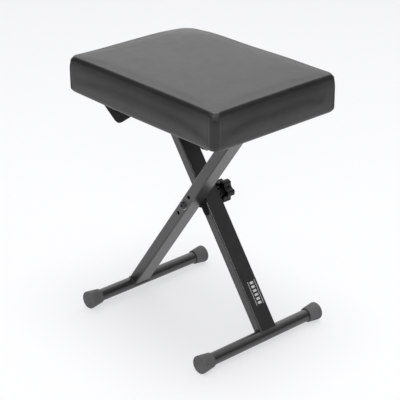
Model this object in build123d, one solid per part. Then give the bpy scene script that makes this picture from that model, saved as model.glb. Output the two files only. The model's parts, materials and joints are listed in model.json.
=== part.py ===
from build123d import *
from math import atan2, cos, degrees, hypot, pi, radians, sin
import os

# Folding X-frame piano bench.  Millimetres, +Z up.  The origin is on the floor, in the middle of
# the bench.  +X runs along the seat's long side and +Y along its depth; the star knob is on +Y.
# Frame A rises from the base tube at -X to the cross tube at +X, frame B the other way.

# ---- driving dimensions ----------------------------------------------------------------------
seat_length = 425.0
seat_depth = 313.0
seat_bottom = 467.0
seat_top = 539.0
seat_corner = 19.0
seat_top_edge = 9.0
seat_bottom_edge = 6.0
cover_thickness = 1.5
cover_turn_in = 25.0
board_thickness = 12.0
board_inset = 6.5
dust_cover_inset = 12.0
dust_cover_thickness = 1.0

base_spread = 172.0
base_axis_height = 18.0
pivot_height = 259.0
cross_height = 449.0

round_tube_radius = 12.5
tube_wall = 1.5
base_tube_half = 151.5
cross_tube_half = 109.0

leg_width = 41.0
leg_thickness = 22.5
leg_corner = 3.5
leg_gap = 5.0
leg_offset = -2.0  # the legs' shared gap is a little towards -Y of the middle

cap_length = 30.0
cap_rim_radius = 18.3
cap_rim_length = 5.0
cap_neck_radius = 15.0
cap_bore_depth = 22.0

pivot_radius = 5.0
bush_radius = 8.0
running_clearance = 0.05
loose_clearance = 0.3
lock_hole_radius = 4.0
lock_hole_offset = 27.0

clutch_radius = 17.5
clutch_face_gap = 0.3
clutch_recess_radius = 11.0
clutch_recess_end = 2.0
clutch_ear_start = 1.0
clutch_ear_radius = 8.0
clutch_ear_reach = 36.0
clutch_dowel_depth = 6.0
clutch_teeth = 72
tooth_half_width = 0.45
tooth_depth = 0.8
tooth_inner_radius = 12.5
tooth_length = 10.0
spring_radius = 9.0
spring_wire = 0.5
spring_pitch = 1.3

bracket_centre = 111.0
bracket_half_length = 51.0
bracket_thickness = 3.0
bracket_face = 111.0
bracket_flange_depth = 28.0
slot_tip_radius = 18.0
slot_tip_height = 437.0
hinge_tip_radius = 9.5
guard_thickness = 1.5
ear_slope = 35.0

screw_radius = 3.0
screw_head_radius = 6.0
screw_head_height = 2.6
screw_step = 34.0
screw_inset = 14.0
t_nut_radius = 9.0
t_nut_flange = 1.2
t_nut_barrel = 3.9

staple_crown = 11.0
staple_wire = 1.2
staple_flat = 0.7
staple_leg_length = 7.4

knob_lobes = 5
knob_radius = 24.0
knob_start = 54.0
knob_end = 73.0
knob_scallop_centre = 26.5
knob_scallop_radius = 9.0
knob_wall = 2.5
knob_hollow_depth = 14.0
knob_boss_radius = 11.5
knob_nut_length = 8.0
knob_nut_corner = 9.2
knob_nut_depth = 2.0
knob_bore_stop = 3.0

pivot_head_radius = 8.0
pivot_head_height = 3.2
pivot_washer_thickness = 1.0
knob_washer_thickness = 1.5
hinge_head_height = 4.0
plug_radius = 4.0
plug_start = 93.0

# ---- worked out from them --------------------------------------------------------------------
leg_lean = base_spread / (pivot_height - base_axis_height)
leg_angle = degrees(atan2(leg_lean, 1.0))
cross_spread = (cross_height - pivot_height) * leg_lean
lower_arm = hypot(base_spread, pivot_height - base_axis_height)
upper_arm = hypot(cross_spread, cross_height - pivot_height)
board_bottom = seat_bottom + cover_thickness
board_top = board_bottom + board_thickness
flange_top = seat_bottom - dust_cover_thickness
flange_bottom = flange_top - bracket_thickness
leg_near = leg_gap / 2
leg_far = leg_near + leg_width
head_face = bracket_face + bracket_thickness + loose_clearance
screw_places = [
    (side * bracket_centre + step, end * (bracket_face - screw_inset))
    for side in (-1, 1)
    for end in (-1, 1)
    for step in (-screw_step, screw_step)
]


def rod(radius, y_start, y_end, x=0.0, z=0.0):
    """A round bar along Y between two places."""
    return Pos(x, (y_start + y_end) / 2, z) * Rot(90, 0, 0) * Cylinder(radius, abs(y_end - y_start))


def ring(radius, bore, y_start, y_end, x=0.0, z=0.0):
    return rod(radius, y_start, y_end, x, z) - rod(bore, y_start - 1, y_end + 1, x, z)


def post(radius, z_start, z_end, x, y):
    """A round bar along Z between two heights."""
    return Pos(x, y, (z_start + z_end) / 2) * Cylinder(radius, z_end - z_start)


def slab(length, depth, corner, z_start, z_end):
    """A plate with rounded corners, centred on the seat."""
    return Pos(0, 0, z_start) * extrude(RectangleRounded(length, depth, corner), z_end - z_start)


def at_pivot(side):
    """Local Z runs up the leg; side +1 is frame A, which leans to +X, and -1 is frame B."""
    return Pos(0, leg_offset, pivot_height) * Rot(0, side * leg_angle, 0)


def both_ends(piece):
    """The piece and its mirror image at the other end of its tube."""
    return [piece, mirror(piece, Plane.XZ)]


# ---- frames ----------------------------------------------------------------------------------
def leg_tube(side):
    """Rectangular tube, its ends cut to sit on the round tubes, drilled for the bush and locks."""
    middle = -side * (leg_near + leg_width / 2)
    length = lower_arm + upper_arm
    inner = 2 * tube_wall
    tube = extrude(RectangleRounded(leg_thickness, leg_width, leg_corner), length)
    tube -= extrude(
        RectangleRounded(leg_thickness - inner, leg_width - inner, leg_corner - tube_wall), length
    )
    tube = Pos(0, middle, -lower_arm) * tube
    reach = leg_far + 10
    tube -= rod(round_tube_radius, -reach, reach, z=-lower_arm)
    tube -= rod(round_tube_radius, -reach, reach, z=upper_arm)
    tube -= rod(bush_radius, -reach, reach)
    for place in (-lock_hole_offset, lock_hole_offset):
        tube -= rod(lock_hole_radius, -reach, reach, z=place)
    return at_pivot(side) * tube


def round_tube(half_length, x, z):
    return ring(round_tube_radius, round_tube_radius - tube_wall, -half_length, half_length, x, z)


def foot_cap(x, end):
    """Rubber cap pushed over the tube's end, with a narrow flat where it stands on the floor."""
    rim_start = cap_length - cap_rim_length
    profile = Polyline(
        (round_tube_radius, 0),
        (cap_neck_radius, 0),
        (cap_rim_radius, rim_start),
        (cap_rim_radius, cap_length),
        (0, cap_length),
        (0, cap_bore_depth),
        (round_tube_radius, cap_bore_depth),
        close=True,
    )
    cap = revolve(Plane.XZ * make_face(profile), Axis.Z)
    rims = cap.edges().filter_by(GeomType.CIRCLE).group_by(Axis.Z)[-1]
    cap = fillet(rims, 2.5)
    inner_end = base_tube_half - cap_bore_depth
    cap = Pos(x, end * inner_end, base_axis_height) * Rot(-90 * end, 0, 0) * cap
    return cap - Pos(x, end * inner_end, -10) * Box(80, 80, 20)


def tube_inserts(side):
    """Threaded plugs welded into the ends of a cross tube."""
    x = side * cross_spread
    outer = round_tube_radius - tube_wall
    bore = plug_radius + running_clearance
    return both_ends(ring(outer, bore, plug_start, cross_tube_half, x, cross_height))


def shoulder_pin(x, end):
    """Threaded shank in the tube's plug and a plain shoulder outside it."""
    shank = rod(plug_radius, plug_start + 1, cross_tube_half, x, cross_height)
    return shank + rod(pivot_radius, cross_tube_half, end, x, cross_height)


def hinge_bolts():
    """Headed shoulder bolts that the hinge brackets turn on."""
    x = cross_spread
    head = rod(pivot_head_radius, head_face, head_face + hinge_head_height, x, cross_height)
    rim = head.edges().filter_by(GeomType.CIRCLE).sort_by(Axis.Y)[-1]
    head = fillet(rim, 2.0)
    socket = extrude(RegularPolygon(3.0, 6), 3.0)
    head -= Pos(x, head_face + 1.5, cross_height) * Rot(-90, 0, 0) * socket
    return both_ends(shoulder_pin(x, head_face) + head)


def slide_pins():
    """Headless shoulder pins that slide in the slotted brackets, behind their guards."""
    end = bracket_face + bracket_thickness - loose_clearance
    return both_ends(shoulder_pin(-cross_spread, end))


def spacer_washers(side):
    """Nylon washers between the tube ends and the brackets."""
    bore = pivot_radius + loose_clearance
    outer = bracket_face - loose_clearance
    washer = ring(11.0, bore, cross_tube_half, outer, side * cross_spread, cross_height)
    return both_ends(washer)


def pivot_bush(side):
    """Steel sleeve welded across the leg, which turns on the pivot bolt."""
    near, far = sorted((-side * leg_near, -side * leg_far))
    bush = ring(bush_radius, pivot_radius + running_clearance, near, far, z=pivot_height)
    return Pos(0, leg_offset, 0) * bush


def clutch_plate(side):
    """Half of the toothed clutch, held to its leg by two dowels in the lock holes."""
    out = -side
    face = out * clutch_face_gap
    body = rod(clutch_radius, face, out * leg_near)
    ear_end = clutch_ear_reach - clutch_ear_radius
    ear = Box(2 * clutch_ear_radius, leg_near - clutch_ear_start, 2 * ear_end)
    body += Pos(0, out * (leg_near + clutch_ear_start) / 2, 0) * ear
    for place in (-1, 1):
        body += rod(clutch_ear_radius, out * clutch_ear_start, out * leg_near, z=place * ear_end)
        dowel_radius = lock_hole_radius - running_clearance
        dowel_end = out * (leg_near + clutch_dowel_depth)
        body += rod(dowel_radius, out * clutch_ear_start, dowel_end, z=place * lock_hole_offset)
    body -= rod(clutch_recess_radius, 0, out * clutch_recess_end)
    body -= rod(pivot_radius + loose_clearance, 0, out * (leg_near + 1))
    # one groove lies along local Z; turned round the pivot, it cuts all the teeth
    half = tooth_half_width
    groove = Polyline(
        (-half, -out), (half, -out), (half, 0), (0, out * tooth_depth), (-half, 0), close=True
    )
    groove = extrude(Plane.XY * make_face(groove), tooth_length)
    groove = Pos(0, face, tooth_inner_radius) * groove
    body -= [Rot(0, 360.0 * step / clutch_teeth, 0) * groove for step in range(clutch_teeth)]
    return at_pivot(side) * body


def release_spring():
    """Short coil that pushes the clutch halves apart when the knob is slackened."""
    path = Helix(pitch=spring_pitch, height=2 * spring_pitch, radius=spring_radius)
    start = Plane(origin=path @ 0, z_dir=path % 0)
    coil = sweep(start * Circle(spring_wire), path=path, is_frenet=True)
    return Pos(0, leg_offset - spring_pitch, pivot_height) * Rot(-90, 0, 0) * coil


def pivot_bolt():
    """Low button-head bolt through both legs, threaded into the knob's nut."""
    head_start = -leg_far - pivot_washer_thickness
    head = rod(pivot_head_radius, head_start - pivot_head_height, head_start)
    rim = head.edges().filter_by(GeomType.CIRCLE).sort_by(Axis.Y)[0]
    head = fillet(rim, 2.4)
    socket = extrude(RegularPolygon(3.4, 6), 3.0)
    head -= Pos(0, head_start - 0.8, 0) * Rot(90, 0, 0) * socket
    shank = rod(pivot_radius, head_start, knob_end - 4.0)
    tip = shank.edges().filter_by(GeomType.CIRCLE).sort_by(Axis.Y)[-1]
    shank = chamfer(tip, 1.0)
    return Pos(0, leg_offset, pivot_height) * (head + shank)


def leg_washer(y_start, thickness):
    washer = ring(9.5, pivot_radius + loose_clearance, y_start, y_start + thickness, z=pivot_height)
    return Pos(0, leg_offset, 0) * washer


# ---- knob ------------------------------------------------------------------------------------
def knob_nut_blank():
    blank = extrude(RegularPolygon(knob_nut_corner, 6), knob_nut_length)
    return Pos(0, knob_start + knob_nut_depth, 0) * Rot(-90, 0, 0) * blank


def knob_outline(inset, corner):
    """The lobed outline, or the same outline set in by a wall's thickness."""
    outline = Circle(knob_radius - inset)
    for lobe in range(knob_lobes):
        angle = 2 * pi * (lobe + 0.5) / knob_lobes
        place = Pos(knob_scallop_centre * cos(angle), knob_scallop_centre * sin(angle))
        outline -= place * Circle(knob_scallop_radius + inset)
    return fillet(outline.vertices(), corner)


def star_knob():
    """Moulded knob, hollow behind its lobes, with a boss round the pocket for its nut."""
    head = extrude(knob_outline(0.0, 4.0), knob_end - knob_start)
    outer_edges = head.faces().sort_by(Axis.Z)[-1].edges()
    head = fillet(outer_edges, 2.5)
    hollow = extrude(knob_outline(knob_wall, 1.5), knob_hollow_depth)
    hollow -= Pos(0, 0, knob_hollow_depth / 2) * Cylinder(knob_boss_radius, knob_hollow_depth)
    boss_start = leg_far + knob_washer_thickness + loose_clearance
    knob = Pos(0, knob_start, 0) * Rot(-90, 0, 0) * (head - hollow)
    knob += rod(knob_boss_radius, boss_start, knob_start)
    knob -= rod(pivot_radius + loose_clearance, boss_start - 1, knob_end - knob_bore_stop)
    return Pos(0, leg_offset, pivot_height) * (knob - knob_nut_blank())


def knob_nut():
    nut = knob_nut_blank() - rod(pivot_radius + running_clearance, knob_start, knob_end)
    return Pos(0, leg_offset, pivot_height) * nut


# ---- seat ------------------------------------------------------------------------------------
def upholstered_block(inset):
    """The seat's outer form, or the same form set in by the cover's thickness."""
    length = seat_length - 2 * inset
    depth = seat_depth - 2 * inset
    block = slab(length, depth, seat_corner - inset, seat_bottom + inset, seat_top - inset)
    rim = block.faces().sort_by(Axis.Z)[-1].edges()
    block = fillet(rim, seat_top_edge - inset)
    hem = block.faces().sort_by(Axis.Z)[0].edges()
    return fillet(hem, seat_bottom_edge - inset)


def board_blank():
    """The board's outline, set in so that the foam wraps round its edge."""
    length = seat_length - 2 * board_inset
    depth = seat_depth - 2 * board_inset
    return slab(length, depth, seat_corner - board_inset, board_bottom, board_top)


def seat_board():
    """Plywood board, drilled for the T-nuts and recessed for their flanges."""
    board = board_blank()
    for x, y in screw_places:
        board -= post(t_nut_barrel, board_bottom - 1, board_top + 1, x, y)
        board -= post(t_nut_radius, board_top - t_nut_flange, board_top + 1, x, y)
    return board


def foam_pad():
    """Foam block over the board and round its edge."""
    return upholstered_block(cover_thickness) - board_blank()


def vinyl_cover():
    """Cover pulled over the foam and the board's edge, and turned in underneath."""
    opening_length = seat_length - 2 * cover_turn_in
    opening_depth = seat_depth - 2 * cover_turn_in
    cover = upholstered_block(0) - upholstered_block(cover_thickness)
    return cover - slab(opening_length, opening_depth, 10.0, seat_bottom - 1, board_bottom)


def dust_cover():
    """Thin cloth stapled under the board."""
    length = seat_length - 2 * dust_cover_inset
    depth = seat_depth - 2 * dust_cover_inset
    sheet = slab(length, depth, seat_corner - dust_cover_inset, flange_top, seat_bottom)
    for x, y in screw_places:
        sheet -= post(screw_radius + loose_clearance, flange_top - 1, seat_bottom + 1, x, y)
    return sheet


def staple(x, y, turn):
    """A wire staple driven up through the cloth and the cover into the board."""
    crown = Pos(0, 0, -staple_flat / 2) * Box(staple_crown, staple_wire, staple_flat)
    leg_middle = staple_leg_length / 2 - staple_flat
    for end in (-1, 1):
        leg_x = end * (staple_crown - staple_wire) / 2
        crown += Pos(leg_x, 0, leg_middle) * Box(staple_wire, staple_wire, staple_leg_length)
    return Pos(x, y, flange_top) * Rot(0, 0, turn) * crown


def staples():
    row_x = seat_length / 2 - dust_cover_inset - 6.0
    row_y = seat_depth / 2 - dust_cover_inset - 6.0
    made = []
    for step in range(-3, 4):
        for end in (-1, 1):
            made.append(staple(step * 52.0, end * row_y, 0))
    for step in range(-2, 3):
        for end in (-1, 1):
            made.append(staple(end * row_x, step * 50.0, 90))
    return made


def t_nuts():
    made = []
    for x, y in screw_places:
        flange_start = board_top - t_nut_flange
        nut = post(t_nut_radius, flange_start, board_top, x, y)
        nut += post(t_nut_barrel, board_bottom + 2.0, flange_start, x, y)
        made.append(nut - post(screw_radius + running_clearance, board_bottom, board_top + 1, x, y))
    return made


def screw_head(x, y, slack):
    """Cone of a countersunk head, flush with the underside of the bracket's flange."""
    middle = flange_bottom + screw_head_height / 2
    cone = Cone(screw_head_radius + slack, screw_radius + slack, screw_head_height)
    return Pos(x, y, middle) * cone


def bracket_screws():
    made = []
    for x, y in screw_places:
        screw = screw_head(x, y, 0.0)
        screw += post(screw_radius, flange_bottom + 1, board_top - 2.0, x, y)
        screw -= Pos(x, y, flange_bottom) * Box(7.0, 1.4, 2.4)
        screw -= Pos(x, y, flange_bottom) * Box(1.4, 7.0, 2.4)
        made.append(screw)
    return made


def ear_outline(middle, half, tip_radius, tip_height):
    """The hanging ear seen along Y, from its round tip's centre: sloping sides meet in the tip."""
    slope = radians(ear_slope)
    top = flange_top - tip_height
    reach_x = tip_radius * sin(slope)
    reach_z = tip_radius * cos(slope)
    shoulder = (half * sin(slope) - tip_radius) / cos(slope)
    edge = Polyline(
        (middle + reach_x, -reach_z),
        (middle + half, shoulder),
        (middle + half, top),
        (middle - half, top),
        (middle - half, shoulder),
        (middle - reach_x, -reach_z),
    )
    tip = ThreePointArc(
        (middle - reach_x, -reach_z), (middle, -tip_radius), (middle + reach_x, -reach_z)
    )
    return Plane.XZ * make_face([edge, tip])


def bracket(side, end, slotted):
    """Pressed bracket: a flange under the board and a hanging ear with the pin's hole or slot."""
    tip_height = cross_height
    shift = cross_spread - bracket_centre
    tip_radius = hinge_tip_radius
    if slotted:
        tip_height = slot_tip_height
        shift = 0.0
        tip_radius = slot_tip_radius
    outline = ear_outline(shift, bracket_half_length - shift, tip_radius, tip_height)
    outer = end * (bracket_face + bracket_thickness)
    inner = end * bracket_face
    ear = Pos(0, max(outer, inner), 0) * extrude(outline, bracket_thickness)
    rise = flange_bottom - tip_height
    flange_middle = outer - end * bracket_flange_depth / 2
    flange = Box(2 * bracket_half_length, bracket_flange_depth, bracket_thickness)
    plate = ear + Pos(0, flange_middle, rise + bracket_thickness / 2) * flange
    bend = [
        edge
        for edge in plate.edges().filter_by(Axis.X)
        if abs(edge.center().Y - outer) < 0.01 and edge.center().Z > rise + bracket_thickness - 0.01
    ]
    plate = fillet(bend, bracket_thickness - 0.5)
    plate = Pos(side * bracket_centre, 0, tip_height) * plate
    low, high = sorted((end * (bracket_face - 1), end * (bracket_face + bracket_thickness + 1)))
    x = side * cross_spread
    if slotted:
        half = pivot_radius + loose_clearance
        plate -= rod(half, low, high, x - 0.2, cross_height)
        run = 2 * bracket_half_length
        plate -= Pos(x + run / 2, (low + high) / 2, cross_height) * Box(run, high - low, 2 * half)
    else:
        plate -= rod(pivot_radius + running_clearance, low, high, x, cross_height)
    for hole_x, hole_y in screw_places:
        hole_radius = screw_radius + running_clearance
        plate -= post(hole_radius, flange_bottom - 1, flange_top + 1, hole_x, hole_y)
        plate -= screw_head(hole_x, hole_y, running_clearance)
    return plate


def slot_guard(end):
    """Plain plate welded outside a slotted ear, so that the pin can't come out sideways."""
    outline = ear_outline(0.0, bracket_half_length, slot_tip_radius, slot_tip_height)
    near = end * (bracket_face + bracket_thickness)
    far = near + end * guard_thickness
    guard = Pos(0, max(near, far), 0) * extrude(outline, guard_thickness)
    guard = Pos(-bracket_centre, 0, slot_tip_height) * guard
    return guard - Pos(-bracket_centre, 0, flange_bottom + 10) * Box(200, 400, 20)


# ---- the whole bench -------------------------------------------------------------------------
def all_parts():
    parts = {}
    for name, side in (("a", 1), ("b", -1)):
        parts["leg_tube_" + name] = leg_tube(side)
        parts["base_tube_" + name] = round_tube(base_tube_half, -side * base_spread, base_axis_height)
        parts["cross_tube_" + name] = round_tube(cross_tube_half, side * cross_spread, cross_height)
        parts["cross_tube_inserts_" + name] = tube_inserts(side)
        parts["pivot_bush_" + name] = pivot_bush(side)
        parts["clutch_plate_" + name] = clutch_plate(side)
        for place, end in (("front", -1), ("rear", 1)):
            parts["foot_cap_" + name + "_" + place] = foot_cap(-side * base_spread, end)
    parts["hinge_bolts"] = hinge_bolts()
    parts["hinge_washers"] = spacer_washers(1)
    parts["slide_pins"] = slide_pins()
    parts["slide_washers"] = spacer_washers(-1)
    parts["release_spring"] = release_spring()
    parts["pivot_bolt"] = pivot_bolt()
    parts["pivot_washer"] = leg_washer(-leg_far - pivot_washer_thickness, pivot_washer_thickness)
    parts["knob_washer"] = leg_washer(leg_far, knob_washer_thickness)
    parts["star_knob"] = star_knob()
    parts["knob_nut"] = knob_nut()
    parts["seat_board"] = seat_board()
    parts["foam_pad"] = foam_pad()
    parts["vinyl_cover"] = vinyl_cover()
    parts["dust_cover"] = dust_cover()
    parts["cover_staples"] = staples()
    parts["t_nuts"] = t_nuts()
    parts["bracket_screws"] = bracket_screws()
    for place, end in (("front", -1), ("rear", 1)):
        parts["hinge_bracket_" + place] = bracket(1, end, slotted=False)
        parts["slot_bracket_" + place] = bracket(-1, end, slotted=True)
        parts["slot_guard_" + place] = slot_guard(end)
    return parts


os.makedirs("parts", exist_ok=True)
for node, shape in all_parts().items():
    solids = shape if isinstance(shape, list) else [shape]
    solids = [solid for piece in solids for solid in piece.solids()]
    whole = solids[0] if len(solids) == 1 else Compound(children=solids)
    export_step(whole, os.path.join("parts", node + ".step"))
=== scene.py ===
import json
import math

import bpy
import numpy as np
from mathutils import Matrix, Vector
from mathutils.kdtree import KDTree


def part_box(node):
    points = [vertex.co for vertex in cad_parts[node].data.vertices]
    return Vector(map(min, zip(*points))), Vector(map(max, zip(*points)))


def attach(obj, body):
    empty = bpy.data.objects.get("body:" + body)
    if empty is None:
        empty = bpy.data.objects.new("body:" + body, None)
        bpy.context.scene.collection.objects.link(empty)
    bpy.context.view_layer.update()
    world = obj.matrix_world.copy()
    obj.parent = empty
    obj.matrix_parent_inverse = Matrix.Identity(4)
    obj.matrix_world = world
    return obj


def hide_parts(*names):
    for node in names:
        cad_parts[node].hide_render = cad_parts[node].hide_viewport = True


MM = 0.001
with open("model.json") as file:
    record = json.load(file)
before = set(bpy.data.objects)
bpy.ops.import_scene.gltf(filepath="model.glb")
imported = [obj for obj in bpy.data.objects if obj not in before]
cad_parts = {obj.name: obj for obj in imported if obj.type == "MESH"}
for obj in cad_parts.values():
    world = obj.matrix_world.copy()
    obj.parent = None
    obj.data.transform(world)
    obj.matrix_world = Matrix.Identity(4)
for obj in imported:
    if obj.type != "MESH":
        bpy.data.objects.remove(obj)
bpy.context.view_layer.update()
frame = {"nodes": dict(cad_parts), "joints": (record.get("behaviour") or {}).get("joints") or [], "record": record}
SCENE = bpy.context.scene
SCENE.view_settings.view_transform = "Standard"
NODES = frame["nodes"]
LEG_HALF = 11.25 * MM  # half the leg tube's thin side
LEG_CORNER = 3.5 * MM
TUBE_RADIUS = 12.5 * MM
BASE_AXIS = 18.0 * MM  # height of the foot tubes' axis
RNG = np.random.default_rng(7)

# The joints' places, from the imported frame
JOINTS = {joint["name"]: joint for joint in frame["joints"]}
PIVOT = Vector(JOINTS["frame_fold"]["pos_m"])
CROSS = Vector(JOINTS["seat_hinge"]["pos_m"])
LEAN = math.atan2(CROSS.x - PIVOT.x, CROSS.z - PIVOT.z)
UPPER_ARM = math.hypot(CROSS.x - PIVOT.x, CROSS.z - PIVOT.z)


# ---- small helpers ---------------------------------------------------------------------------
def new_object(name, mesh, material, body):
    """A piece that rides on a CAD body and wears the material it is given."""
    piece = bpy.data.objects.new(name, mesh)
    SCENE.collection.objects.link(piece)
    mesh.materials.append(material)
    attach(piece, body)
    return piece


def mesh_of(name, points, faces, smooth=True):
    mesh = bpy.data.meshes.new(name)
    mesh.from_pydata([tuple(point) for point in points], [], faces)
    mesh.update()
    mesh.polygons.foreach_set("use_smooth", [smooth] * len(mesh.polygons))
    return mesh


def smoothstep(low, high, value):
    t = np.clip((value - low) / (high - low), 0.0, 1.0)
    return t * t * (3.0 - 2.0 * t)


def bump_at(value, centre, width):
    """A smooth hump of height 1 around centre."""
    return np.exp(-(((value - centre) / width) ** 2))


# ---- materials -------------------------------------------------------------------------------
class Shader:
    """A Principled material, with the noise, bump and colour steps that every finish here uses."""

    def __init__(self, name, roughness, metallic=0.0, specular=0.5, **sockets):
        self.material = bpy.data.materials.new(name)
        self.material.use_nodes = True
        self.tree = self.material.node_tree
        self.bsdf = self.tree.nodes["Principled BSDF"]
        self.bsdf.inputs["Roughness"].default_value = roughness
        self.bsdf.inputs["Metallic"].default_value = metallic
        self.bsdf.inputs["Specular IOR Level"].default_value = specular
        for socket, value in sockets.items():
            self.bsdf.inputs[socket.replace("_", " ")].default_value = value
        self.coordinates = self.add("ShaderNodeTexCoord").outputs["Object"]
        self.normal = None

    def add(self, kind, **values):
        node = self.tree.nodes.new(kind)
        for key, value in values.items():
            setattr(node, key, value)
        return node

    def link(self, start, end):
        self.tree.links.new(start, end)

    def noise(self, scale, detail=3.0, roughness=0.55, stretch=None):
        node = self.add("ShaderNodeTexNoise")
        node.inputs["Scale"].default_value = scale
        node.inputs["Detail"].default_value = detail
        node.inputs["Roughness"].default_value = roughness
        self.link(self.stretched(stretch), node.inputs["Vector"])
        return node.outputs["Fac"]

    def stretched(self, stretch):
        if stretch is None:
            return self.coordinates
        mapping = self.add("ShaderNodeMapping")
        mapping.inputs["Scale"].default_value = stretch
        self.link(self.coordinates, mapping.inputs["Vector"])
        return mapping.outputs["Vector"]

    def cells(self, scale, feature="DISTANCE_TO_EDGE"):
        node = self.add("ShaderNodeTexVoronoi", feature=feature)
        node.inputs["Scale"].default_value = scale
        self.link(self.coordinates, node.inputs["Vector"])
        return node.outputs["Distance"]

    def ramp(self, value, low, high, start=(0, 0, 0, 1), end=(1, 1, 1, 1)):
        node = self.add("ShaderNodeValToRGB")
        node.color_ramp.elements[0].position = low
        node.color_ramp.elements[1].position = high
        node.color_ramp.elements[0].color = start
        node.color_ramp.elements[1].color = end
        self.link(value, node.inputs["Fac"])
        return node.outputs["Color"]

    def bump(self, height, distance, strength=1.0):
        node = self.add("ShaderNodeBump")
        node.inputs["Distance"].default_value = distance
        node.inputs["Strength"].default_value = strength
        self.link(height, node.inputs["Height"])
        if self.normal is not None:
            self.link(self.normal, node.inputs["Normal"])
        self.normal = node.outputs["Normal"]
        self.link(self.normal, self.bsdf.inputs["Normal"])

    def colour(self, value, dark, light, low=0.35, high=0.65):
        start = (*dark, 1.0)
        end = (*light, 1.0)
        self.link(self.ramp(value, low, high, start, end), self.bsdf.inputs["Base Color"])

    def rough(self, value, low, high):
        node = self.add("ShaderNodeMapRange")
        node.inputs["To Min"].default_value = low
        node.inputs["To Max"].default_value = high
        self.link(value, node.inputs["Value"])
        self.link(node.outputs["Result"], self.bsdf.inputs["Roughness"])


def black_vinyl():
    """Embossed leather grain about a millimetre across, with fine creases between the pebbles."""
    s = Shader("black_vinyl", roughness=0.32, specular=0.5)
    blotch = s.noise(14.0, 4.0)
    s.colour(blotch, (0.0125, 0.0122, 0.0118), (0.0185, 0.018, 0.0172))
    s.rough(s.noise(60.0, 5.0), 0.27, 0.38)
    s.bump(s.noise(9.0, 3.0), 0.0012, 0.25)
    s.bump(s.ramp(s.cells(620.0), 0.0, 0.22), 0.00016, 0.55)
    s.bump(s.noise(1900.0, 4.0, 0.6), 0.00008, 0.5)
    return s.material


def powder_coat():
    """Satin black powder coat: orange peel at a millimetre and a finer speckle."""
    s = Shader("powder_coat", roughness=0.34, specular=0.95)
    s.colour(s.noise(35.0, 4.0), (0.0125, 0.0127, 0.0135), (0.019, 0.0192, 0.020))
    s.rough(s.noise(220.0, 4.0), 0.27, 0.40)
    s.bump(s.noise(750.0, 2.0), 0.00012, 0.45)
    s.bump(s.noise(2600.0, 2.0), 0.00004, 0.35)
    return s.material


def foot_rubber():
    s = Shader("foot_rubber", roughness=0.72, specular=0.35)
    s.colour(s.noise(45.0, 5.0), (0.105, 0.105, 0.107), (0.135, 0.135, 0.137))
    s.rough(s.noise(160.0, 4.0), 0.62, 0.82)
    s.bump(s.noise(1300.0, 4.0, 0.65), 0.00015, 0.5)
    return s.material


def moulded_plastic(name, dark, light, roughness):
    """Spark-eroded moulding texture."""
    s = Shader(name, roughness=roughness, specular=0.35)
    s.colour(s.noise(70.0, 3.0), dark, light)
    s.rough(s.noise(300.0, 3.0), roughness - 0.06, roughness + 0.08)
    s.bump(s.cells(1500.0, "F1"), 0.00006, 0.45)
    return s.material


def plated_steel(name, dark, light, roughness, metallic=1.0, specular=0.5):
    """Dull plating with fine turning marks."""
    s = Shader(name, roughness=roughness, metallic=metallic, specular=specular)
    s.colour(s.noise(90.0, 4.0), dark, light)
    s.rough(s.noise(500.0, 3.0), roughness - 0.08, roughness + 0.12)
    s.bump(s.noise(1400.0, 2.0, stretch=(1.0, 0.15, 1.0)), 0.00003, 0.5)
    return s.material


def plywood():
    """Birch veneer with its grain along X."""
    s = Shader("plywood", roughness=0.62)
    grain = s.noise(90.0, 6.0, 0.6, stretch=(0.08, 1.0, 1.0))
    s.colour(grain, (0.30, 0.19, 0.10), (0.48, 0.34, 0.20))
    s.rough(s.noise(200.0, 3.0), 0.55, 0.72)
    s.bump(s.noise(900.0, 3.0, stretch=(0.1, 1.0, 1.0)), 0.00012, 0.5)
    return s.material


def dust_cloth():
    """Pressed non-woven cloth: long loose fibres and a grid of small spot bonds."""
    s = Shader("dust_cloth", roughness=0.9, specular=0.2, Sheen_Weight=0.3, Sheen_Roughness=0.5)
    s.colour(s.noise(260.0, 5.0), (0.012, 0.012, 0.012), (0.03, 0.03, 0.03))
    s.bump(s.noise(1200.0, 4.0, stretch=(0.35, 1.0, 1.0)), 0.0002, 0.6)
    s.bump(s.ramp(s.cells(520.0, "F1"), 0.1, 0.35), 0.00018, 0.5)
    return s.material


def foam_rubber():
    s = Shader("foam", roughness=0.95, specular=0.1)
    s.colour(s.noise(120.0, 4.0), (0.55, 0.50, 0.36), (0.68, 0.62, 0.46))
    s.bump(s.cells(900.0, "F1"), 0.0004, 0.7)
    return s.material


def printed_white():
    """Screen-printed ink, slightly worn."""
    s = Shader("printed_white", roughness=0.5)
    s.colour(s.noise(420.0, 5.0), (0.40, 0.40, 0.41), (0.78, 0.78, 0.79), 0.25, 0.5)
    s.rough(s.noise(300.0), 0.42, 0.6)
    s.bump(s.noise(900.0), 0.00003, 0.3)
    return s.material


def label_film():
    s = Shader("label_film", roughness=0.34, specular=0.5)
    s.colour(s.noise(50.0), (0.026, 0.026, 0.028), (0.034, 0.034, 0.036))
    s.rough(s.noise(200.0), 0.30, 0.42)
    s.bump(s.noise(700.0, 2.0), 0.00003, 0.3)
    return s.material


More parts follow.
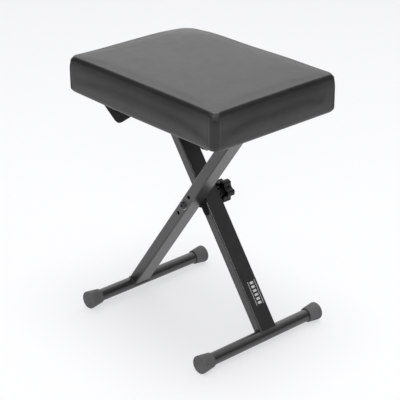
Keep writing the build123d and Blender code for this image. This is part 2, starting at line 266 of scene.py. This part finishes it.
VINYL = black_vinyl()
COAT = powder_coat()
RUBBER = foot_rubber()
KNOB = moulded_plastic("knob_plastic", (0.007, 0.007, 0.0072), (0.012, 0.012, 0.0122), 0.42)
NYLON = moulded_plastic("nylon", (0.42, 0.41, 0.38), (0.5, 0.49, 0.46), 0.5)
ZINC = plated_steel("zinc_steel", (0.30, 0.30, 0.31), (0.45, 0.45, 0.46), 0.38)
BLACK_OXIDE = plated_steel(
    "black_oxide", (0.035, 0.035, 0.037), (0.06, 0.06, 0.062), 0.38, metallic=0.6
)
# The clutch brackets' own black is made darker still and almost without shine: painted shade for the shade they
# sit in under the seat.
CLUTCH_BLACK_PAINTED_SHADE = plated_steel(
    "clutch_black_painted_shade", (0.008, 0.008, 0.009), (0.016, 0.016, 0.017), 0.6, metallic=0.0, specular=0.12
)
SPRING = plated_steel("spring_steel", (0.45, 0.45, 0.45), (0.6, 0.6, 0.6), 0.25)
BRASS = plated_steel("nut_brass", (0.55, 0.38, 0.14), (0.68, 0.50, 0.22), 0.3)
PLYWOOD = plywood()
CLOTH = dust_cloth()
FOAM = foam_rubber()
INK = printed_white()
FILM = label_film()

FINISH = {
    "black_powder_coat": COAT,
    "zinc_steel": ZINC,
    "black_bolt": BLACK_OXIDE,
    "clutch_metal": CLUTCH_BLACK_PAINTED_SHADE,
    "spring_steel": SPRING,
    "foot_rubber": RUBBER,
    "knob_plastic": KNOB,
    "nut_brass": BRASS,
    "nylon": NYLON,
    "plywood": PLYWOOD,
    "foam": FOAM,
    "black_vinyl": VINYL,
    "dust_cloth": CLOTH,
}


def dress_cad_nodes():
    """Every CAD node that stays in view gets the finish of its record slot."""
    for entry in frame["record"]["subparts"]:
        node = NODES[entry["node"]]
        for slot in node.material_slots:
            slot.material = FINISH[entry["material_slot"]]


# ---- seat ------------------------------------------------------------------------------------
SEAT_LOW, SEAT_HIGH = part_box("vinyl_cover")
TOP_CORNERS = (20.0 * MM, 15.0 * MM, 30.0 * MM, 15.0 * MM)  # from +X, -Y, anticlockwise
HEM_CORNERS = (19.0 * MM, 15.0 * MM, 16.0 * MM, 15.0 * MM)
HALF_X = (SEAT_HIGH.x - SEAT_LOW.x) / 2
HALF_Y = (SEAT_HIGH.y - SEAT_LOW.y) / 2
TOP_EDGE = 8.5 * MM
TOP_EDGE_HEIGHT = 28.0 * MM
HEM_EDGE = 5.0 * MM
HEM_EDGE_HEIGHT = 10.0 * MM
TURN_IN = 25.0 * MM
SEAT_CROWN = SEAT_HIGH.z + 0.5 * MM


def rounded_loop(half_x, half_y, radii, straight_steps, corner_steps):
    """Points and outward directions round a rounded rectangle, anticlockwise from +X, -Y."""
    points = []
    corners = ((1, -1, -90.0), (1, 1, 0.0), (-1, 1, 90.0), (-1, -1, 180.0))
    for index, (side_x, side_y, start) in enumerate(corners):
        radius = radii[index]
        centre = np.array([side_x * (half_x - radius), side_y * (half_y - radius)])
        for step in range(corner_steps + 1):
            angle = math.radians(start + 90.0 * step / corner_steps)
            out = np.array([math.cos(angle), math.sin(angle)])
            points.append((centre + radius * out, out))
        next_x, next_y, next_start = corners[(index + 1) % 4]
        next_radius = radii[(index + 1) % 4]
        angle = math.radians(next_start)
        out = np.array([math.cos(angle), math.sin(angle)])
        end = np.array([next_x * (half_x - next_radius), next_y * (half_y - next_radius)])
        end = end + next_radius * out
        first = points[-1][0]
        steps = straight_steps[index % 2]
        for step in range(1, steps):
            points.append((first + (end - first) * step / steps, out))
    places = np.array([point for point, _ in points])
    outs = np.array([out for _, out in points])
    return places, outs


def seat_profile():
    """(inset, height) pairs from under the board, out round the edge and in over the top."""
    low = SEAT_LOW.z
    pairs = []
    for inset in (TURN_IN, TURN_IN - 0.6 * MM):
        pairs.append((inset, low + 2.4 * MM))
    for inset in np.linspace(TURN_IN - 1.2 * MM, HEM_EDGE + 0.8 * MM, 12):
        pairs.append((inset, low))
    for angle in np.linspace(0.0, math.pi / 2, 8)[1:]:
        inset = HEM_EDGE * (1 - math.sin(angle))
        pairs.append((inset, low + HEM_EDGE_HEIGHT * (1 - math.cos(angle))))
    side_top = SEAT_CROWN - TOP_EDGE_HEIGHT
    for height in np.linspace(low + HEM_EDGE_HEIGHT, side_top, 24)[1:-1]:
        pairs.append((0.0, height))
    for angle in np.linspace(0.0, math.pi / 2, 28):
        inset = TOP_EDGE * (1 - math.cos(angle))
        pairs.append((inset, side_top + TOP_EDGE_HEIGHT * math.sin(angle)))
    for inset in np.linspace(TOP_EDGE, HALF_Y - 6.0 * MM, 60)[1:]:
        pairs.append((inset, SEAT_CROWN))
    return pairs


def flare(inset, height):
    """How far a ring leans out: the sides open a little from the board up to the top edge."""
    rise = (height - SEAT_LOW.z) / (SEAT_CROWN - SEAT_LOW.z)
    return (1.7 * rise - 0.7) * MM * max(1.0 - inset / (40.0 * MM), 0.0)


def seat_rings(straight_steps, corner_steps):
    """The seat's skin as rings of points, with each ring's outward directions."""
    rings = []
    for inset, height in seat_profile():
        rise = smoothstep(SEAT_LOW.z + 18.0 * MM, SEAT_CROWN - 12.0 * MM, height)
        corners = [hem + rise * (top - hem) for hem, top in zip(HEM_CORNERS, TOP_CORNERS)]
        radii = [max(corner - inset * 0.5, 5.0 * MM) for corner in corners]
        reach = flare(inset, height) - inset
        places, outs = rounded_loop(
            HALF_X + reach, HALF_Y + reach, radii, straight_steps, corner_steps
        )
        ring = np.column_stack([places, np.full(len(places), height)])
        rings.append((ring, outs))
    return rings


def closed_skin(name, rings):
    """Quads between the rings, and one flat face across the first and the last one."""
    count = len(rings[0])
    points = np.vstack(rings)
    faces = []
    for row in range(len(rings) - 1):
        for column in range(count):
            following = (column + 1) % count
            a = row * count
            b = a + count
            faces.append((a + column, a + following, b + following, b + column))
    last = (len(rings) - 1) * count
    faces.append(tuple(reversed(range(count))))
    faces.append(tuple(last + column for column in range(count)))
    return mesh_of(name, points, faces)


CLOTH_STEPS = 20
PRESSURE = 4.0
PUFF_CAP = 4.0 * MM  # the largest movement that counts
PUFF_SHARE = 0.28  # how much of it the skin takes


def inflate(rings):
    """Presses the stuffing outward with a cloth simulation; gives each ring point's movement."""
    block = bpy.data.objects.new("seat_blank", closed_skin("seat_blank", rings))
    SCENE.collection.objects.link(block)
    bpy.context.view_layer.objects.active = block
    block.select_set(True)
    remesh = block.modifiers.new("remesh", "REMESH")
    remesh.mode = "VOXEL"
    remesh.voxel_size = 5.0 * MM
    bpy.ops.object.modifier_apply(modifier=remesh.name)
    mesh = block.data
    start = np.empty(len(mesh.vertices) * 3)
    mesh.vertices.foreach_get("co", start)
    start = start.reshape(-1, 3)
    pinned = block.vertex_groups.new(name="pinned")
    hold = 1.0 - smoothstep(SEAT_LOW.z + 3.0 * MM, SEAT_LOW.z + 14.0 * MM, start[:, 2])
    for index in np.nonzero(hold > 0.01)[0]:
        pinned.add([int(index)], float(hold[index]), "REPLACE")
    cloth = block.modifiers.new("cloth", "CLOTH")
    cloth.settings.use_pressure = True
    cloth.settings.uniform_pressure_force = PRESSURE
    cloth.settings.vertex_group_mass = "pinned"
    cloth.settings.tension_stiffness = 18.0
    cloth.settings.compression_stiffness = 18.0
    cloth.settings.bending_stiffness = 1.2
    cloth.settings.effector_weights.gravity = 0.0
    cloth.point_cache.frame_start = 1
    cloth.point_cache.frame_end = CLOTH_STEPS
    for step in range(1, CLOTH_STEPS + 1):
        SCENE.frame_set(step)
    shaped = block.evaluated_get(bpy.context.evaluated_depsgraph_get())
    end = np.empty(len(start) * 3)
    shaped.data.vertices.foreach_get("co", end)
    movement = end.reshape(-1, 3) - start
    length = np.linalg.norm(movement, axis=1)
    movement *= PUFF_SHARE * (np.minimum(length, PUFF_CAP) / np.maximum(length, 1e-9))[:, None]
    tree = KDTree(len(start))
    for index, point in enumerate(start):
        tree.insert(point, index)
    tree.balance()
    moved = []
    for ring in rings:
        ring_moves = np.zeros_like(ring)
        for index, point in enumerate(ring):
            near = tree.find_n(point, 8)
            weights = np.array([1.0 / (distance + 2.0 * MM) ** 2 for _, _, distance in near])
            picked = movement[[place for _, place, _ in near]]
            ring_moves[index] = (picked * weights[:, None]).sum(axis=0) / weights.sum()
        moved.append(ring_moves)
    bpy.data.objects.remove(block)
    SCENE.frame_set(1)
    return moved


def crown(point):
    """How high the padding stands at a place on the top, from 0 at the edge to 1."""
    across = np.clip(1.0 - np.abs(point[:, 0]) / HALF_X, 0.0, 1.0)
    along = np.clip(1.0 - np.abs(point[:, 1]) / HALF_Y, 0.0, 1.0)
    return np.minimum(1.0, 1.9 * across) ** 0.7 * np.minimum(1.0, 1.6 * along) ** 0.7


PLEAT_FURROW = 1.2 * MM
PLEAT_RIDGE = 1.8 * MM
PLEAT_LIP = 1.8 * MM
PLEAT_TUCK = 0.9 * MM
DRAW_IN = 4.0 * MM
PULL_MARK = 0.12 * MM
SETTLED = (8.0 * MM, 60.0 * MM)  # depth and width at the corner at -X, +Y
PROUD = ((0.1, 3.0 * MM, 90.0 * MM), (-0.1, 0.6 * MM, 60.0 * MM))  # x, rise and width, at +Y


def pleats(outs, height, inset):
    """How far the skin stands out round the gathers at the four corners."""
    side = smoothstep(0.02, 0.10, height) * (1.0 - smoothstep(0.80, 0.98, height))
    on_side = 1.0 - smoothstep(0.6 * TOP_EDGE, TOP_EDGE, inset)
    angle = np.degrees(np.arctan2(outs[:, 1], outs[:, 0]))
    from_corner = np.minimum(np.abs(np.abs(angle) - 45.0), np.abs(np.abs(angle) - 135.0))
    # each pleat is a narrow furrow with a soft ridge on both sides of it
    furrow = bump_at(from_corner, 0.0, 6.0)
    ridge = bump_at(from_corner, 22.0, 9.0)
    # the gathered vinyl stands out in a small lip over the pleat, tucked in just below
    lip = bump_at(height, 0.90, 0.04) * bump_at(from_corner, 0.0, 30.0)
    tuck = bump_at(height, 0.81, 0.03) * bump_at(from_corner, 0.0, 14.0)
    fold = side * (ridge * PLEAT_RIDGE - furrow * PLEAT_FURROW)
    return fold + on_side * (lip * PLEAT_LIP - tuck * PLEAT_TUCK)


def drawn_in(ring, height, inset):
    """How far the skin is drawn in towards the top edge between the corners."""
    corner_distance = np.hypot(HALF_X - np.abs(ring[:, 0]), HALF_Y - np.abs(ring[:, 1]))
    between = 1.0 - bump_at(corner_distance, 0.0, 55.0 * MM)
    edge_fade = max(1.0 - inset / (50.0 * MM), 0.0)
    return DRAW_IN * between * smoothstep(0.30, 1.15, height) * edge_fade


def pull_marks(ring, height):
    """Shallow waves above the turn-in."""
    x, y = ring[:, 0], ring[:, 1]
    wave = np.sin(x * 95.0 + 1.3) * np.sin(x * 41.0) + np.sin(y * 88.0)
    slack = smoothstep(0.0, 0.1, height) * (1.0 - smoothstep(0.2, 0.6, height))
    return slack * PULL_MARK * wave


def padding_level(ring, height):
    """How far the padding has sunk at one corner and stands proud along the +Y edge."""
    upper = smoothstep(0.45, 0.95, height)
    depth, width = SETTLED
    away = np.hypot(ring[:, 0] + HALF_X, ring[:, 1] - HALF_Y)
    level = -depth * bump_at(away, 0.0, width) * upper
    for x, rise, width in PROUD:
        away = np.hypot(ring[:, 0] - x, ring[:, 1] - HALF_Y)
        level = level + rise * bump_at(away, 0.0, width) * upper
    return level


def hem_hang(ring, height, inset):
    """How far the lower edge hangs: most at +X, and less towards the ends of the long sides."""
    sag = 1.0 - (ring[:, 0] / HALF_X) ** 2
    low_part = 1.0 - smoothstep(0.0, 0.22, height)
    under = smoothstep(TURN_IN, 8.0 * MM, np.full(len(ring), inset))
    edge_y = smoothstep(0.80, 0.97, np.abs(ring[:, 1]) / HALF_Y)
    edge_x = smoothstep(0.85, 0.98, ring[:, 0] / HALF_X)
    hang = edge_y * (0.8 * sag - 1.0 * (1.0 - sag)) * (1.0 - edge_x) + edge_x * 1.8
    return low_part * under * hang * MM


def tailored(ring, outs, inset):
    """The skin as it was sewn and stretched over the padding."""
    ring = ring.copy()
    height = (ring[:, 2] - SEAT_LOW.z) / (SEAT_HIGH.z - SEAT_LOW.z)
    out_move = pleats(outs, height, inset) - drawn_in(ring, height, inset)
    out_move = out_move + pull_marks(ring, height)
    ring[:, :2] += outs * out_move[:, None]
    ring[:, 2] += padding_level(ring, height) - hem_hang(ring, height, inset)
    return ring


def seat_cushion():
    rings = seat_rings((84, 60), 34)
    shapes = [ring for ring, _ in rings]
    moves = inflate(shapes)
    finished = []
    for (ring, outs), move, (inset, _) in zip(rings, moves, seat_profile()):
        shape = tailored(ring + move, outs, inset)
        if inset > TOP_EDGE * 0.5 and ring[0, 2] > SEAT_CROWN - TOP_EDGE:
            lift = (inset - TOP_EDGE * 0.5) / (30.0 * MM)
            shape[:, 2] += 1.5 * MM * crown(ring) * min(1.0, lift)
        finished.append(shape)
    skin = closed_skin("seat_cushion", finished)
    cushion = new_object("seat_cushion", skin, VINYL, "seat")
    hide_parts("vinyl_cover", "foam_pad")


BRACKET_X = 111.0 * MM  # where the brackets press the dust sheet against the board
BRACKET_Y = 100.0 * MM


def dust_sheet():
    """The cloth under the board, stapled round its edge, with a little slack inside it."""
    low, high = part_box("dust_cover")
    steps_x, steps_y = 96, 68
    columns = np.linspace(low.x, high.x, steps_x + 1)
    rows = np.linspace(low.y, high.y, steps_y + 1)
    points = []
    for level in (low.z, high.z - 0.2 * MM):
        for y in rows:
            for x in columns:
                edge = min(x - low.x, high.x - x, y - low.y, high.y - y)
                slack = 1.0 - math.exp(-max(edge - 8.0 * MM, 0.0) / (40.0 * MM))
                drop = 0.8 * MM * slack * (1.0 + 0.3 * math.sin(61.0 * x) * math.sin(47.0 * y))
                away = math.hypot(abs(x) - BRACKET_X, abs(y) - BRACKET_Y)
                loose = min(away / (60.0 * MM), 1.0)
                points.append((x, y, level - drop * loose ** 2))
    faces = []
    row_length = steps_x + 1
    layer = row_length * (steps_y + 1)
    for row in range(steps_y):
        for column in range(steps_x):
            a = row * row_length + column
            faces.append((a, a + row_length, a + row_length + 1, a + 1))
            b = a + layer
            faces.append((b, b + 1, b + row_length + 1, b + row_length))
    rim = list(range(row_length))
    rim += [row * row_length + steps_x for row in range(1, steps_y + 1)]
    rim += [steps_y * row_length + column for column in range(steps_x - 1, -1, -1)]
    rim += [row * row_length for row in range(steps_y - 1, 0, -1)]
    for here, there in zip(rim, rim[1:] + rim[:1]):
        faces.append((here, there, there + layer, here + layer))
    cloth = mesh_of("dust_sheet", points, faces)
    sheet = new_object("dust_sheet", cloth, CLOTH, "seat")
    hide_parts("dust_cover")


# ---- frames ----------------------------------------------------------------------------------
BEAD_WIDTH = 1.9 * MM
BEAD_HEIGHT = 2.0 * MM


def leg_matrix(side):
    """Local Z runs up the leg from the pivot; side +1 is frame A and -1 is frame B."""
    return Matrix.Translation(PIVOT) @ Matrix.Rotation(side * LEAN, 4, "Y")


def weld_bead(name, side, body, arm, direction):
    """A rippled fillet of weld round the leg where it meets a round tube."""
    leg_low, leg_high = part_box("leg_tube_a" if side > 0 else "leg_tube_b")
    middle = (leg_low.y + leg_high.y) / 2
    half_y = (leg_high.y - leg_low.y) / 2
    places, outs = rounded_loop(LEG_HALF, half_y, (LEG_CORNER,) * 4, (14, 26), 6)
    matrix = leg_matrix(side)
    rings = []
    around = 10  # points round the bead's section
    for index, (place, out) in enumerate(zip(places, outs)):
        reach = min(abs(place[0]), TUBE_RADIUS * 0.98)
        rise = math.sqrt(TUBE_RADIUS ** 2 - reach ** 2)
        centre = Vector((place[0], middle + place[1], direction * (arm - rise)))
        outward = Vector((out[0], out[1], 0.0))
        up = Vector((0.0, 0.0, -direction))
        ripple = 1.0 + 0.16 * math.sin(index * 1.9) + 0.05 * RNG.standard_normal()
        ring = []
        for step in range(around):
            angle = 2 * math.pi * step / around
            offset = outward * math.cos(angle) * BEAD_WIDTH + up * math.sin(angle) * BEAD_HEIGHT
            ring.append(matrix @ (centre + offset * ripple))
        rings.append(ring)
    points = [point for ring in rings for point in ring]
    faces = []
    for index in range(len(rings)):
        following = (index + 1) % len(rings)
        for step in range(around):
            after = (step + 1) % around
            a = index * around
            b = following * around
            faces.append((a + step, b + step, b + after, a + after))
    new_object(name, mesh_of(name, points, faces), COAT, body)


def plate_on_leg(name, side, body, start, end, low_y, high_y, proud, material):
    """A thin plate with chamfered edges on the leg's face that looks up; start and end are
    measured down the leg from the pivot."""
    face = LEG_HALF + proud
    edge = 0.15 * MM
    matrix = leg_matrix(side)
    points = []
    for depth, inset in ((face - proud + 0.01 * MM, 0.0), (face - edge * 0.4, 0.0), (face, edge)):
        for z, y in ((start, low_y), (start, high_y), (end, high_y), (end, low_y)):
            z_in = inset if z == start else -inset
            y_in = inset if y == low_y else -inset
            points.append(matrix @ Vector((-side * depth, y + y_in, -(z + z_in))))
    faces = [(0, 3, 2, 1), (8, 9, 10, 11)]
    for level in (0, 4):
        for step in range(4):
            after = (step + 1) % 4
            faces.append((level + step, level + after, level + 4 + after, level + 4 + step))
    mesh = mesh_of(name, points, faces, smooth=False)
    new_object(name, mesh, material, body)


MARK_START, MARK_END = 185.0 * MM, 241.0 * MM  # down leg B from the pivot
MARK_LOW_Y, MARK_HIGH_Y = 11.5 * MM, 39.5 * MM
MARK_MARGIN = 3.0 * MM
LINE_WIDTH = 1.2 * MM
BARS = 6
FILM_PROUD = 0.10 * MM
INK_PROUD = 0.16 * MM


def generic_mark():
    """A plain printed mark on leg B: a film with a column of equal bars between two lines."""

    def on_leg_b(name, start, end, low_y, high_y, proud, material):
        plate_on_leg(name, -1, "frame_b", start, end, low_y, high_y, proud, material)

    on_leg_b("mark_film", MARK_START, MARK_END, MARK_LOW_Y, MARK_HIGH_Y, FILM_PROUD, FILM)
    start, end = MARK_START + MARK_MARGIN, MARK_END - MARK_MARGIN
    for name, line_y in (("mark_line_low", 16.0 * MM), ("mark_line_high", 33.8 * MM)):
        on_leg_b(name, start, end, line_y, line_y + LINE_WIDTH, INK_PROUD, INK)
    pitch = (end - start) / BARS
    for index in range(BARS):
        top = start + (index + 0.2) * pitch
        name = "mark_bar_%d" % index
        on_leg_b(name, top, top + 0.6 * pitch, 21.0 * MM, 30.0 * MM, INK_PROUD, INK)


# ---- stage -----------------------------------------------------------------------------------
FLOOR_HALF = 12.0
FLOOR_GLOW = 0.610  # the studio floor is partly lit by itself, so shadows on it are pale


def floor():
    size = FLOOR_HALF
    points = [(-size, -size, 0), (size, -size, 0), (size, size, 0), (-size, size, 0)]
    mesh = mesh_of("floor", points, [(0, 1, 2, 3)], smooth=False)
    ground = bpy.data.objects.new("floor", mesh)
    SCENE.collection.objects.link(ground)
    s = Shader("studio_floor", roughness=0.9, specular=0.1)
    s.colour(s.noise(0.8), (0.320, 0.322, 0.326), (0.324, 0.326, 0.330))
    s.bsdf.inputs["Emission Color"].default_value = (0.985, 0.99, 1.0, 1.0)
    s.bsdf.inputs["Emission Strength"].default_value = FLOOR_GLOW
    mesh.materials.append(s.material)


LAMPS = (  # name, place, size in metres, power in watts
    ("overhead", (0.05, 0.1, 3.0), 1.3, 40.0),
    ("front_fill", (1.55, -1.4, 1.5), 0.8, 12.0),
)


def soft_light(name, place, size, power):
    data = bpy.data.lights.new(name, "AREA")
    data.shape = "DISK"
    data.size = size
    data.energy = power
    lamp = bpy.data.objects.new(name, data)
    SCENE.collection.objects.link(lamp)
    lamp.location = place
    aim = Vector((0.0, 0.0, 0.3)) - Vector(place)
    lamp.rotation_mode = "QUATERNION"
    lamp.rotation_quaternion = aim.to_track_quat("-Z", "Y")


def sky():
    """Studio surroundings: bright overhead, dim near the horizon, with a pale wall at -X, +Y."""
    world = bpy.data.worlds.new("studio")
    SCENE.world = world
    world.use_nodes = True
    tree = world.node_tree
    background = tree.nodes["Background"]
    background.inputs["Color"].default_value = (1.0, 1.0, 1.0, 1.0)
    direction = tree.nodes.new("ShaderNodeTexCoord").outputs["Generated"]

    def along(axis, start, end, low, high):
        """A strength that rises smoothly with how far a direction points along an axis."""
        dot = tree.nodes.new("ShaderNodeVectorMath")
        dot.operation = "DOT_PRODUCT"
        dot.inputs[1].default_value = axis
        tree.links.new(direction, dot.inputs[0])
        spread = tree.nodes.new("ShaderNodeMapRange")
        spread.interpolation_type = "SMOOTHSTEP"
        spread.inputs["From Min"].default_value = start
        spread.inputs["From Max"].default_value = end
        spread.inputs["To Min"].default_value = low
        spread.inputs["To Max"].default_value = high
        tree.links.new(dot.outputs["Value"], spread.inputs["Value"])
        return spread.outputs["Result"]

    total = tree.nodes.new("ShaderNodeMath")
    tree.links.new(along((0.0, 0.0, 1.0), 0.22, 1.0, 0.04, 0.85), total.inputs[0])
    tree.links.new(along((-0.68, 0.60, 0.42), 0.55, 1.0, 0.0, 1.08), total.inputs[1])
    tree.links.new(total.outputs["Value"], background.inputs["Strength"])


def camera():
    """A long lens, fitted to the photograph's view."""
    azimuth, elevation = math.radians(48.40), math.radians(25.03)
    roll = math.radians(-0.28)
    distance = 2.907
    target = Vector((-0.0009, -0.0012, 0.2559))
    back = Vector(
        (
            math.sin(azimuth) * math.cos(elevation),
            -math.cos(azimuth) * math.cos(elevation),
            math.sin(elevation),
        )
    )
    data = bpy.data.cameras.new("camera")
    data.sensor_width = 36.0
    data.lens = 132.25
    eye = bpy.data.objects.new("camera", data)
    SCENE.collection.objects.link(eye)
    eye.rotation_mode = "QUATERNION"
    eye.location = target + back * distance
    turn = (-back).to_track_quat("-Z", "Y").to_matrix() @ Matrix.Rotation(roll, 3, "Z")
    eye.rotation_quaternion = turn.to_quaternion()
    SCENE.camera = eye


# ---- the bench -------------------------------------------------------------------------------
dress_cad_nodes()
camera()
floor()
sky()
for name, place, size, power in LAMPS:
    soft_light(name, place, size, power)

seat_cushion()
dust_sheet()
BASE_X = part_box("base_tube_a")[0].x + TUBE_RADIUS
LOWER_ARM = math.hypot(BASE_X - PIVOT.x, PIVOT.z - BASE_AXIS)
for letter, side in (("a", 1), ("b", -1)):
    body = "frame_" + letter
    weld_bead("base_weld_" + letter, side, body, LOWER_ARM, -1)
    weld_bead("cross_weld_" + letter, side, body, UPPER_ARM, 1)
generic_mark()
